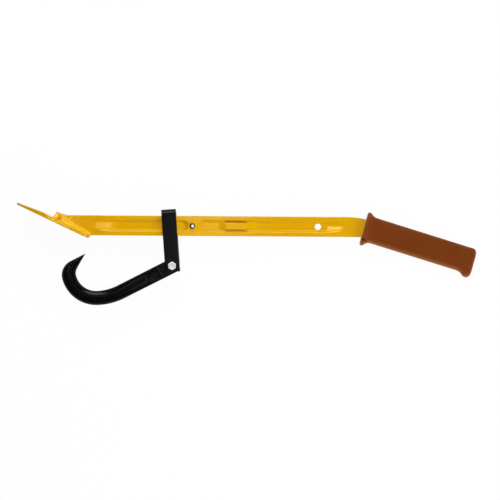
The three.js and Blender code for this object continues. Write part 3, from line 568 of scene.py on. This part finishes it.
def lip_blade():
    """The pry lip: a wedge that becomes a plate, as one flat section from tip to heel, with the ridge raised
    out of its upper face. The plan draws in over the corners' rounds and bows at the front."""
    section = FlatSection(12, 14, 3, 3)
    tip = BLADE_CORNER * (1 - np.cos(np.linspace(0.06, 1, 8) * math.pi / 2))
    heel = BLADE_LENGTH - BLADE_CORNER * (1 - np.cos(np.linspace(1, 0.06, 8) * math.pi / 2))
    body = np.concatenate([np.arange(9, 66, 3.0), np.arange(66.5, 80, 0.5),
                           np.arange(81, BLADE_LENGTH - 7.5, 3.0)])
    reach = np.concatenate([[0], tip, body, heel, [BLADE_LENGTH]])[:, None]
    half = BLADE_TIP_HALF + (BLADE_HALF - BLADE_TIP_HALF) * np.clip(reach / 60, 0, 1)
    for end_reach in (reach, BLADE_LENGTH - reach):
        sunk = np.clip(BLADE_CORNER - end_reach, 0, BLADE_CORNER)
        half = half - BLADE_CORNER + np.sqrt(BLADE_CORNER ** 2 - sunk ** 2)
    thick = 2.9 + 4.5 * soft(reach / 51, 0.04) - 1.1 * soft((reach - 51) / 17.8, 0.1)
    ends = np.ones_like(reach)
    ends[0] = ends[-1] = 0.62
    edge = np.minimum(0.5 + 0.6 * soft((reach - 60) / 8, 0.1), 0.42 * thick)
    z = section.across(half - 0.35 * (1 - ends) / 0.38, edge, 0.72 * half)
    w = section.through(thick / 2 * ends, edge * ends)
    x = reach + 2 * np.clip(np.abs(z) / 24, 0, 1) ** 2 * (1 - np.clip(reach / 25, 0, 1))
    y = thick / 2 + w
    # Ridge: a rib whose flanks are round at the foot and the crown. Its ends leave the blade's edge in a hollow
    # fillet of 2.4 mm, then rise steeply
    flank = soft((x - RIDGE_START + 0.5) / 1.8, 0.2) * soft((RIDGE_END + 0.5 - x) / 1.8, 0.2)
    run = np.clip(half - 0.5 - np.abs(z), 0, None)
    climb = np.where(run < 2.2, 2.4 - np.sqrt(np.maximum(2.4 ** 2 - np.minimum(run, 2.2) ** 2, 0)),
                     1.44 + 2.3 * (run - 2.2))
    climb = (climb + RIDGE_RISE - np.hypot(climb - RIDGE_RISE, 1.2)) / 2
    y = y + np.where(section.s > 0.9, flank * np.maximum(climb, 0), 0)
    ground = np.maximum(1 - reach / 4.2, 0) * np.ones_like(y)
    # Painted shade: the enamel is painted darker towards the lip's tip
    painted_tip_shade = 0.4 * soft((64 - reach) / 30, 0.2) * np.ones_like(y)
    rings = turned_about(np.stack([x, y, z], -1), -BLADE_ANGLE, BLADE_TIP)
    return make("enamelled_lip", rings.reshape(-1, 3), [skin_of(rings), section.caps(len(reach))], "lever",
                ENAMEL, ["lip_blade"], marks={"ground": ground, "painted_shade": painted_tip_shade})


WELD_NODES = np.linspace(0, 2 * math.pi, 40, endpoint=False)[None]
WELD_LEG = 7.7


def weld_run(base, u, v, legs, unders, power):
    """Rings of a weld run. At each base point the section has a leg along u and one along v, and reaches a little
    under both. Each quarter is a superellipse: the two shares of its lengths, each to the power, add up to 1."""
    c = np.cos(WELD_NODES)
    s = np.sin(WELD_NODES)
    total = (np.maximum(c, 0) / legs[0]) ** power + (np.maximum(s, 0) / legs[1]) ** power
    total += (np.maximum(-c, 0) / unders[0]) ** power + (np.maximum(-s, 0) / unders[1]) ** power
    radius = total ** (-1 / power)
    return base[:, None] + u[:, None] * (radius * c)[..., None] + v[:, None] * (radius * s)[..., None]


def ripples(length, seed):
    """A run's ripples, one every 2.6 mm, bowed back round the section, and its slow unevenness."""
    phase = length[:, None] / 2.6 + 0.35 * np.sin(WELD_NODES + 0.8)
    slow = 0.5 * np.sin(length * 0.31 + seed) + 0.35 * np.sin(length * 0.73 + 2 * seed)
    return 0.18 * np.abs(np.sin(math.pi * phase)) + 0.3 * slow[:, None]


def weld_bead():
    """The weld, two runs: one along a U round the bar's foot on the blade, the other along an arch up the ridge's
    back, over the bar's top and down again."""
    side = BAR_FACE
    bend = 4.5
    first = RIDGE_END + 0.4
    last = BLADE_LENGTH - 5
    arc = np.linspace(0, math.pi / 2, 14)
    run = np.arange(first, last, 0.55)
    x = np.concatenate([run, last + bend * np.sin(arc), last + bend * np.sin(arc)[::-1], run[::-1]])
    turn_z = side - bend + bend * np.cos(arc)
    z = np.concatenate([0 * run + side, turn_z, -turn_z[::-1], 0 * run - side])
    out_x = np.concatenate([0 * run, np.sin(arc), np.sin(arc)[::-1], 0 * run])
    out_z = np.concatenate([0 * run + 1, np.cos(arc), -np.cos(arc)[::-1], 0 * run - 1])
    length = np.concatenate([[0], np.cumsum(np.hypot(np.diff(x), np.diff(z)))])
    heel = out_x[:, None]
    ease = soft(np.minimum(length, length[-1] - length) / 5, 0.2)[:, None]
    leg = (WELD_LEG + ripples(length, 1)) * (0.85 + 0.15 * ease)
    # The leg up the bar is longest by the ridge
    rise = np.interp(x, [first, 90, 96, 114, last + bend], [10.5, 10.5, 8.6, 6.8, 5.4])[:, None] - WELD_LEG + leg
    flat = np.zeros_like(x)
    foot_run = weld_run(
        np.stack([x, flat + BLADE_THICKNESS - 0.1, z], -1), np.stack([out_x, flat, out_z], -1),
        np.stack([flat, flat + 1, flat], -1), (leg - 2.9 * heel ** 2, rise), (1.6, 1.2 + 6.0 * heel ** 2),
        1.35 + 1.3 * heel ** 2)

    # The arch: up one side of the bar, round its corner, over the top and down the other side
    top = (BAR_HALF - BLADE_TIP[1] + RIDGE_END * math.sin(lean)) / math.cos(lean)
    corner = 2
    climb = np.arange(BLADE_THICKNESS, top - corner, 0.5)
    over = np.arange(side - 2.2, -side + 2.2, -0.5)
    turn_y = top - corner + corner * np.sin(arc)
    turn_z = side - corner + corner * np.cos(arc)
    y = np.concatenate([climb, turn_y, 0 * over + top, turn_y[::-1], climb[::-1]])
    z = np.concatenate([0 * climb + side, turn_z, over, -turn_z[::-1], 0 * climb - side])
    up = np.concatenate([0 * climb, np.sin(arc), 0 * over + 1, np.sin(arc)[::-1], 0 * climb])
    out = np.concatenate([0 * climb + 1, np.cos(arc), 0 * over, -np.cos(arc)[::-1], 0 * climb - 1])
    length = np.concatenate([[0], np.cumsum(np.hypot(np.diff(y), np.diff(z)))])
    level = up[:, None]
    flat = np.zeros_like(y)
    u = np.stack([1 - up * (1 - math.cos(lean)), up * math.sin(lean), flat], -1)
    v = np.stack([-up * math.sin(lean), up * math.cos(lean), out], -1)
    arch = weld_run(np.stack([flat + RIDGE_END - 0.3, y, z], -1), u, v,
                    (8.2 + 0.4 * level + ripples(length, 2), 6.4 - 4.9 * level + 0.4 * ripples(length, 3)),
                    (1.2, 1.2), 2.0 + 0.3 * level)

    points = []
    faces = []
    count = 0
    for rings in (foot_run, arch):
        rings = turned_about(rings, -BLADE_ANGLE, BLADE_TIP)
        middles, ends = fan_caps(rings)
        points += [rings.reshape(-1, 3), middles]
        faces += [skin_of(rings) + count, ends + count]
        count += rings.shape[0] * rings.shape[1] + 2
    return make("weld_ripples", np.vstack(points), faces, "lever", WELD_ENAMEL_PAINTED_PALER, ["weld_bead"],
                sharp=60)


# Strap and the holes for the bolt in it and in the hook
STRAP_FACE = 12.25
STRAP_HALF = 2.5
BOLT_HOLE = 4.4


def hook():
    """The forged hook as one flat section from its eye to its point. Straight shank, eased bend, round bow;
    the inner side then runs straight to the point and the outer side turns in over a corner."""
    section = FlatSection(8, 4, 7, 3)
    half, bow_half = 12.75, 12.4
    eye_thick, bow_thick, point_thick = 6.75, 8, 0.8
    shank, ease_radius, bow_radius = 100.0, 100.0, 48.6
    ease_turn = math.radians(24.6)
    eye_turn = np.radians(np.linspace(2, 61.3, 10))[:-1]
    block_half = 5.9
    patch = block_half * np.arange(-8, 9) / 8
    reach = np.concatenate([-half * np.cos(eye_turn), patch, np.arange(8, 25, 2.0), np.arange(25, 49, 2.0),
                            np.arange(49, 99, 3.0), [shank]])
    width = np.where(reach < 0, np.sqrt(np.maximum(half ** 2 - np.minimum(reach, 0) ** 2, 0)), half)
    neck = soft((reach - 25) / 24, 0.06)
    straight = np.stack([reach, 0 * reach, 0 * reach, 0 * reach + 1], -1)
    hole = len(eye_turn) + 8

    turn = ease_turn * np.arange(1, 13) / 12 - math.pi / 2
    ease = np.stack([shank + ease_radius * np.cos(turn), ease_radius + ease_radius * np.sin(turn), -np.cos(turn),
                     -np.sin(turn)], -1)

    point_reach, apex_reach, corner = 34.0, 4.5, 27
    apex_turn = math.atan2(point_reach, apex_reach)
    apex_radius = math.hypot(point_reach, apex_reach)
    leave = math.radians(24.3)
    centre = np.array([shank, ease_radius])
    centre += (ease_radius - bow_radius) * np.array([math.sin(ease_turn), -math.cos(ease_turn)])
    begin = ease_turn - math.pi / 2
    bow = np.concatenate([begin + (leave - begin) * np.arange(1, 41) / 40,
                          leave + (apex_turn - leave) * (np.arange(1, 25) / 24)])
    inner_radius, outer_radius = bow_radius - bow_half, bow_radius + bow_half
    corner_y = point_reach - corner
    corner_x = math.sqrt((outer_radius - corner) ** 2 - corner_y ** 2)
    past = np.maximum(bow, 0)
    chord = math.sin(apex_turn - leave) / (
        np.sin(apex_turn - past) / inner_radius + np.sin(past - leave) / apex_radius)
    rounded_chord = (inner_radius + chord - np.hypot(inner_radius - chord, 2.6)) / 2
    inner = np.where(bow < 0, inner_radius, rounded_chord)
    lean_in = corner_x * np.cos(bow) + corner_y * np.sin(bow)
    rounded = lean_in + np.sqrt(np.maximum(lean_in ** 2 - corner_x ** 2 - corner_y ** 2 + corner ** 2, 0))
    outer = np.where(bow < math.atan2(corner_y, corner_x), outer_radius,
                     np.where(bow > math.atan2(point_reach, corner_x), point_reach / np.sin(np.maximum(bow, 0.3)),
                              rounded))
    inner = np.minimum(inner, outer - 0.5)
    mid = (inner + outer) / 2
    round_part = np.stack([centre[0] + mid * np.cos(bow), centre[1] + mid * np.sin(bow), -np.cos(bow),
                           -np.sin(bow)], -1)
    grind = math.radians(36)
    ground = np.clip((bow - grind) / (apex_turn - grind), 0, 1)

    path = np.vstack([straight, ease, round_part])
    easing = half + (bow_half - half) * np.arange(1, 13) / 12
    half_width = np.concatenate([width, easing, (outer - inner) / 2])[:, None]
    half_thick = np.concatenate([eye_thick + (bow_thick - eye_thick) * neck, 0 * turn + bow_thick,
                                 bow_thick + (point_thick - bow_thick) * ground])[:, None]
    # The edges are nearly square on the eye, and almost half rounds on the bow
    rounding = 1.6 + 3.2 * neck + 2.7 * soft((reach - 62) / 38, 0.1)
    edge = np.concatenate([rounding, 0 * turn + 7.5, 7.5 * (1 - ground)])[:, None]
    edge = np.minimum(edge, 0.94 * np.minimum(half_width, half_thick))
    edge = np.maximum(edge, 0.1 * np.minimum(half_width, half_thick))
    v = section.across(half_width, edge, np.minimum(block_half, 0.68 * (half_width - edge)))
    w = section.through(half_thick, edge)
    x = np.broadcast_to(path[:, :1], v.shape).copy()
    along, v, gone, wall = open_hole(section, x, v, hole, 8, 4, BOLT_HOLE)
    # Forged faces are slightly crowned
    crown = np.concatenate([0.5 * neck, 0 * turn + 0.5, 0.5 * (1 - ground)])[:, None]
    w = w + np.where(section.on_face, np.sign(w) * crown * (1 - (v / half_width) ** 2), 0)
    x = along + path[:, 2:3] * v
    y = path[:, 1:2] + path[:, 3:4] * v
    # The hook's frame is turned over: its Y lies up and to the left in the tool's frame
    rings = turned_about(np.stack([x, -y, -w], -1), 207.2, BOLT)
    quads = without(skin_of(rings), gone)
    return make("forged_hook", rings.reshape(-1, 3), [quads, section.caps(len(path)), wall], "hook",
                LACQUER, ["cant_hook"], sharp=32)


def strap():
    """The strap as one flat section carried along a U: up one leg, over two bends and down the other."""
    section = FlatSection(8, 4, 3, 3)
    block_half = 6.3
    bend_start, bend = 90.2, 5.5
    middle = STRAP_FACE - STRAP_HALF
    # The leg's end is rounded over its last millimetre
    quarter = np.linspace(0.15, 1, 4) * math.pi / 2
    patch = block_half * np.arange(-8, 9) / 8
    leg = np.concatenate([-10.5 + 0.9 * (1 - np.cos(quarter)), [-8.0], patch, np.arange(9, 88, 4.0), [bend_start]])
    arc = np.linspace(0, math.pi / 2, 10)[1:]
    z = np.concatenate([0 * leg + middle, middle - bend + bend * np.cos(arc), [1.5]])
    y = np.concatenate([leg, bend_start + bend * np.sin(arc), [bend_start + bend]])
    out_z = np.concatenate([0 * leg + 1, np.cos(arc), [0]])
    out_y = np.concatenate([0 * leg, np.sin(arc), [1]])
    z, y = np.concatenate([z, -z[::-1]]), np.concatenate([y, y[::-1]])
    out_z, out_y = np.concatenate([out_z, -out_z[::-1]]), np.concatenate([out_y, out_y[::-1]])
    inset = np.zeros(len(z))
    inset[:4] = 0.9 * (1 - np.sin(quarter))
    inset[-4:] = inset[:4][::-1]
    inset = inset[:, None]
    x = section.across(12.6 - inset, 0.8, block_half)
    w = section.through(STRAP_HALF - inset * 0.8, 0.8)
    along = np.broadcast_to(y[:, None], x.shape).copy()
    first = len(quarter) + 1 + 8
    second = len(z) - 1 - first
    along, x, gone, wall = open_hole(section, along, x, first, 8, 5, BOLT_HOLE)
    # The far leg runs the other way
    flipped, x, gone_too, wall_too = open_hole(section, -along, x, second, 8, 5, BOLT_HOLE)
    along = -flipped
    points = np.stack([x, along + out_y[:, None] * w, z[:, None] + out_z[:, None] * w], -1)
    rings = turned_about(points, 4.3, BOLT)
    quads = without(skin_of(rings), gone | gone_too)
    return make("bent_strap", rings.reshape(-1, 3), [quads, section.caps(len(z)), wall, wall_too], "strap",
                LACQUER, ["hook_strap"])


def grip():
    """The grip as a rounded section along its axis: out over the pommel, along the handle, over the collar's
    lip and back down the bore that holds the tang. Lips are half rounds with a hollow fillet behind."""
    section = FlatSection(16, 12, 9, 3)
    length = GRIP_LENGTH
    half_height, half_width, corner, mouth_round = 22.6, 12.5, 7, 1.6

    def standing(distance, lip, fillet):
        """A round lip, then a hollow fillet that falls to the handle."""
        lip_part = np.sqrt(np.maximum(1 - ((distance - lip / 2) / lip) ** 2, 0))
        fall = 0.866 * np.clip((lip + fillet - distance) / fillet, 0, 1) ** 2.6
        return np.where(distance < lip, lip_part, fall)

    reach = np.concatenate([[0.0], mouth_round * (1 - np.cos(np.linspace(0.1, 1, 6) * math.pi / 2)),
                            np.arange(2.2, 22, 0.8), np.linspace(23, 168, 30), np.arange(169, 190, 0.9),
                            length - corner * (1 - np.sin(np.linspace(0, 1, 12) * math.pi / 2))])[::-1]
    collar = standing(reach, 6, 14)
    pommel = standing(length - reach, 12, 15)
    sunk = np.maximum(0, corner - (length - reach))
    end_round = corner - np.sqrt(np.maximum(corner ** 2 - sunk ** 2, 0))
    sunk = np.maximum(mouth_round - reach, 0)
    mouth = mouth_round - np.sqrt(np.maximum(mouth_round ** 2 - sunk ** 2, 0))
    top = half_height + 5.6 * collar - end_round - mouth
    foot = half_height + 8.1 * collar + 6.9 * pommel - end_round - mouth
    side = half_width + 4 * collar - end_round * half_width / half_height - mouth
    # The bore, from the mouth to its end: reach, top, foot, side and the round of its edges
    bore = np.array([[0, 18.4, 18.4, 7.9, 2.6], [0, 17.2, 17.2, 6.9, 1.9], [0.5, 16.7, 16.9, 6.4, 1.6],
                     [20, 16.7, 16.9, 6.4, 1.6], [60, 16.4, 16.4, 6.4, 1.6], [120, 16.4, 16.4, 6.4, 1.6],
                     [186.4, 16.4, 16.4, 6.4, 1.6]]).T
    handle = (reach, top, foot, side, np.full(len(reach), 10.0))
    reach, top, foot, side, edge = (np.concatenate(pair) for pair in zip(handle, bore))
    edge = edge[:, None]
    edge = np.minimum(edge, 0.92 * side[:, None])
    height = ((top + foot) / 2)[:, None]
    y = ((top - foot) / 2)[:, None] + section.across(height, edge, 0.5 * (height - edge))
    z = section.through(side[:, None], edge)
    # Every ring leans back by 1.7 degrees
    x = reach[:, None] - y * math.tan(math.radians(1.7))
    rings = turned_about(np.stack([x, y, z], -1), -GRIP_TURN, np.append(GRIP_MOUTH, 0))
    outside = (np.arange(len(reach)) < len(reach) - bore.shape[1])[:, None]
    # The collar's foot folds out of the handle in a crease 11 mm long
    begin = np.array([291.2, -19.0])
    fold = np.array([9.4, -6.0])
    share = np.clip((rings[..., :2] - begin) @ fold / (fold @ fold), 0, 1)
    away = np.linalg.norm(rings[..., :2] - begin - share[..., None] * fold, axis=-1)
    # The crease's share sinks the surface, and in the finish it also paints shade into the crease
    crease_and_painted_shade = np.exp(-(away / 1.25) ** 4) * outside
    rings[..., 2] -= 0.8 * crease_and_painted_shade * np.sign(rings[..., 2])
    # A painted sheen pales the lower edge along the foot; the lips are paler as wear, with painted sheen added on
    # their lower side
    painted_foot_sheen = 0.75 * np.clip(-section.c, 0, 1) ** 2 * np.ones_like(y)
    lip_rub = np.maximum(soft((4.5 - reach) / 2, 0.1), soft((4 - length + reach) / 3, 0.1))[:, None]
    wear_and_painted_sheen = np.maximum(painted_foot_sheen, lip_rub * (0.2 + 0.3 * np.clip(-section.c, 0, 1))) * outside
    return make("moulded_grip", rings.reshape(-1, 3), [skin_of(rings), section.caps(len(reach))], "lever",
                VINYL, ["grip_sleeve"], sharp=50, marks={"wear_and_painted_sheen": wear_and_painted_sheen, "crease_and_painted_shade": crease_and_painted_shade})


# Pivot bolt, washer and lock nut: heights above the strap's middle plane. The hexagon is 13 mm over its flats
CLEARANCE = 0.3
WASHER_THICKNESS = 1.6
NUT_TOP = -STRAP_FACE - CLEARANCE - WASHER_THICKNESS - CLEARANCE
NUT_FOOT = NUT_TOP - 6.2
NUT_END = NUT_FOOT - 2.4
NODES_ROUND = 72
turn_round = np.linspace(0, 2 * math.pi, NODES_ROUND, endpoint=False)
hexagon = 6.5 / np.cos(np.mod(turn_round, math.pi / 3) - math.pi / 6)


def lathe(rows, material, name, nodes, join=False):
    """Rings about the bolt. A row is (radius, height) or (None, height, drop): the hexagon, whose corners are
    cut by a cone that falls from its flats by drop times the way out."""
    rings = []
    for row in rows:
        radius = hexagon if row[0] is None else np.full(NODES_ROUND, float(row[0]))
        height = np.full(NODES_ROUND, float(row[1]))
        if row[0] is None:
            height = height - row[2] * (hexagon - 6.2)
        rings.append(np.stack([radius * np.cos(turn_round + math.pi / 6),
                               radius * np.sin(turn_round + math.pi / 6), height], -1))
    rings = turned_about(np.stack(rings), 0, BOLT)
    points = rings.reshape(-1, 3)
    faces = [skin_of(rings, join)]
    if not join:
        middles, ends = fan_caps(rings)
        points = np.vstack([points, middles])
        faces.append(ends)
    return make(name, points, faces, "strap", material, nodes)


def thread(radius, start, end, pitch=1.25):
    """Rings of a screw thread: crests and roots half a pitch apart."""
    steps = int((start - end) / (pitch / 2))
    heights = start - pitch / 2 * np.arange(steps + 1)
    return [(radius - 0.45 * (k % 2), height) for k, height in enumerate(heights)]


def pivot_bolt():
    """Hexagon bolt: washer-faced head with cone-cut corners, a plain shank and a threaded end."""
    foot = STRAP_FACE + CLEARANCE
    top = foot + 5.3
    rows = [(1.5, top - 0.35), (3.6, top - 0.3), (4.4, top), (5.9, top), (6.1, top - 0.06),
            (None, top - 0.15, 0.577), (None, foot + 0.4, 0), (6.2, foot + 0.2), (6.2, foot), (4.0, foot),
            (4.0, -10.5)]
    rows += thread(4.0, -11.0, -23.6)
    rows += [(3.4, -24.1), (1.0, -24.15)]
    return lathe(rows, ZINC, "hex_bolt", ["pivot_bolt"])


def washer():
    """Punched washer with a slightly rounded rim."""
    top = -STRAP_FACE - CLEARANCE
    foot = top - WASHER_THICKNESS
    rows = [(4.3, top), (7.7, top), (8.0, top - 0.3), (8.0, foot + 0.3), (7.8, foot), (4.3, foot)]
    return lathe(rows, ZINC, "flat_washer", ["nut_washer"], join=True)


def lock_nut():
    """Self-locking nut: hexagon, then a rolled collar that closes over the plastic ring."""
    rows = [(4.3, NUT_TOP), (5.9, NUT_TOP), (None, NUT_TOP - 0.15, 0.45), (None, NUT_FOOT + 0.25, -0.45),
            (5.9, NUT_FOOT), (5.7, NUT_FOOT - 0.2), (5.7, NUT_END + 0.9), (5.5, NUT_END + 0.3), (5.1, NUT_END),
            (4.6, NUT_END), (4.3, NUT_END + 0.35), (4.3, NUT_END + 0.7), (5.0, NUT_END + 0.7),
            (5.0, NUT_END + 2.8), (4.3, NUT_END + 2.8)]
    return lathe(rows, ZINC, "lock_nut_body", ["lock_nut"], join=True)


def lock_ring():
    """The nut's plastic ring: a square section inside the collar, its foot slightly domed."""
    foot = NUT_END + 1.0
    rows = [(4.3, foot), (4.5, foot - 0.05), (4.7, foot), (4.7, foot + 1.5), (4.3, foot + 1.5)]
    return lathe(rows, NYLON, "lock_nut_ring", ["lock_nut_insert"], join=True)


def stop_pin():
    """The slotted spring pin: a rolled strip whose C-shaped section has chamfers at both ends. Its slot, 1.2 mm
    wide, lies 40 degrees below the bar's line."""
    slit = 0.6 / 4
    angle = np.linspace(slit, 2 * math.pi - slit, 48) - math.radians(40)
    heights = np.array([-12, -11.2, -6, 0, 6, 11.2, 12])
    outer = np.array([3.45, 3.95, 4, 4, 4, 3.95, 3.45])[:, None]
    inner = np.full((len(heights), 1), 2.6)
    x = np.concatenate([outer * np.cos(angle), inner * np.cos(angle[::-1])], 1)
    y = np.concatenate([outer * np.sin(angle), inner * np.sin(angle[::-1])], 1)
    z = np.broadcast_to(heights[:, None], x.shape)
    rings = np.stack([x, y, z], -1)
    size = x.shape[1]
    here = np.arange(size // 2)
    there = size - 1 - here
    strip = np.stack([here[:-1], here[1:], there[1:], there[:-1]], -1)
    caps = np.concatenate([strip, strip + (len(heights) - 1) * size])
    return make("spring_pin", rings.reshape(-1, 3), [skin_of(rings), caps], "lever", SPRING,
                ["stop_pin"])


lever_bar()
lip_blade()
weld_bead()
hook()
strap()
grip()
pivot_bolt()
washer()
lock_nut()
lock_ring()
stop_pin()


# Floor and surroundings

def pale_floor():
    """A matt floor that the camera sees nearly as bright as paper, with its shadow kept. The pieces themselves
    are lit by it as by grey card."""
    material, tree, _ = finish("pale_floor")
    path = node(tree, "ShaderNodeLightPath")
    card = node(tree, "ShaderNodeMix", {
        0: path.outputs["Is Camera Ray"], 6: linear("DADADA"), 7: linear("FAFAFA")}, data_type="RGBA")
    matt = node(tree, "ShaderNodeBsdfDiffuse", {"Color": card.outputs[2]})
    glow = node(tree, "ShaderNodeEmission", {"Color": linear("FFFFFF"), "Strength": 1.0})
    rays = node(tree, "ShaderNodeMath", {0: path.outputs["Is Camera Ray"], 1: path.outputs["Is Glossy Ray"]},
                operation="MAXIMUM")
    rays = node(tree, "ShaderNodeMath", {0: rays.outputs[0], 1: path.outputs["Is Transmission Ray"]},
                operation="MAXIMUM")
    seen = node(tree, "ShaderNodeMath", {0: rays.outputs[0], 1: 0.96}, operation="MULTIPLY")
    both = node(tree, "ShaderNodeMixShader", {0: seen.outputs[0], 1: matt.outputs[0], 2: glow.outputs[0]})
    node(tree, "ShaderNodeOutputMaterial", {"Surface": both.outputs[0]})
    return material


FLOOR_HALF = 6
floor_mesh = bpy.data.meshes.new("floor")
floor_mesh.from_pydata([(-FLOOR_HALF, -FLOOR_HALF, 0), (FLOOR_HALF, -FLOOR_HALF, 0), (FLOOR_HALF, FLOOR_HALF, 0),
                        (-FLOOR_HALF, FLOOR_HALF, 0)], [], [(0, 1, 2, 3)])
floor_mesh.materials.append(pale_floor())
floor = bpy.data.objects.new("floor", floor_mesh)
scene.collection.objects.link(floor)

world = bpy.data.worlds.new("studio")
scene.world = world
world.use_nodes = True
tree = world.node_tree
tree.nodes.clear()
# Seen directly or through a clear piece the surroundings are white. In gloss they are white round the horizon and
# dark overhead, as under a studio's ceiling.
air = node(tree, "ShaderNodeLightPath")
seen = node(tree, "ShaderNodeMath", {0: air.outputs["Is Camera Ray"], 1: air.outputs["Is Transmission Ray"]},
            operation="MAXIMUM")
ray = node(tree, "ShaderNodeTexCoord")
height = node(tree, "ShaderNodeSeparateXYZ", {0: ray.outputs["Generated"]})
wall = node(tree, "ShaderNodeMapRange", {"Value": height.outputs["Z"], "From Min": 0.35, "From Max": 0.7,
                                         "To Min": 1.0, "To Max": 0.0})
gloss = node(tree, "ShaderNodeMath", {0: wall.outputs[0], 1: air.outputs["Is Glossy Ray"]}, operation="MULTIPLY")
white = node(tree, "ShaderNodeMath", {0: seen.outputs[0], 1: gloss.outputs[0]}, operation="MAXIMUM")
level = node(tree, "ShaderNodeMapRange", {"Value": white.outputs[0], "To Min": 0.03, "To Max": 1.0})
sky = node(tree, "ShaderNodeBackground", {"Color": linear("FFFFFF"), "Strength": level.outputs[0]})
node(tree, "ShaderNodeOutputWorld", {"Surface": sky.outputs[0]})

bpy.context.view_layer.update()
